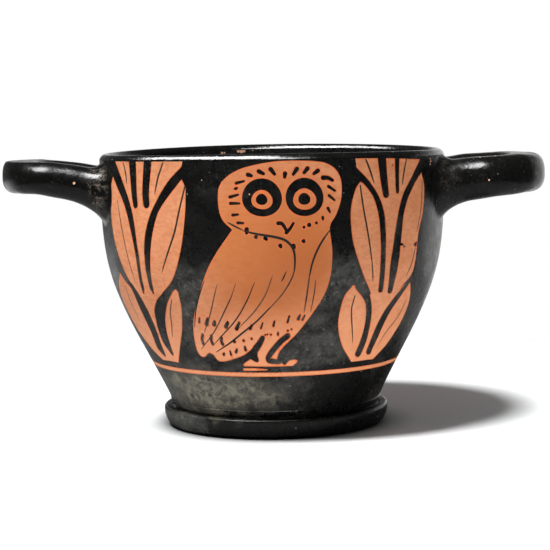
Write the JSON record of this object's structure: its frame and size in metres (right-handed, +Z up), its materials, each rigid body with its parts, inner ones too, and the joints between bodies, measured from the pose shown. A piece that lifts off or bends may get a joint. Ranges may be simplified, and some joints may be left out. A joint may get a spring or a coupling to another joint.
{
  "type": "skyphos",
  "caption": "Deep two-handled drinking cup in fired clay with a disc foot, glossy black with a painted owl between olive sprigs.",
  "frame": {"origin": "middle of the cup's foot on the surface that it stands on", "axes": "+Z up along the cup's turning axis, the two handles point along +X and -X, the painted front faces -Y"},
  "size_m": [0.1654, 0.1048, 0.0841],
  "materials": {
    "black_gloss": "semi-gloss black slip fired on orange-red clay, with the clay left bare for the painted figures"
  },
  "bodies": {
    "root": {"skyphos": "black_gloss"}
  },
  "joints": []
}
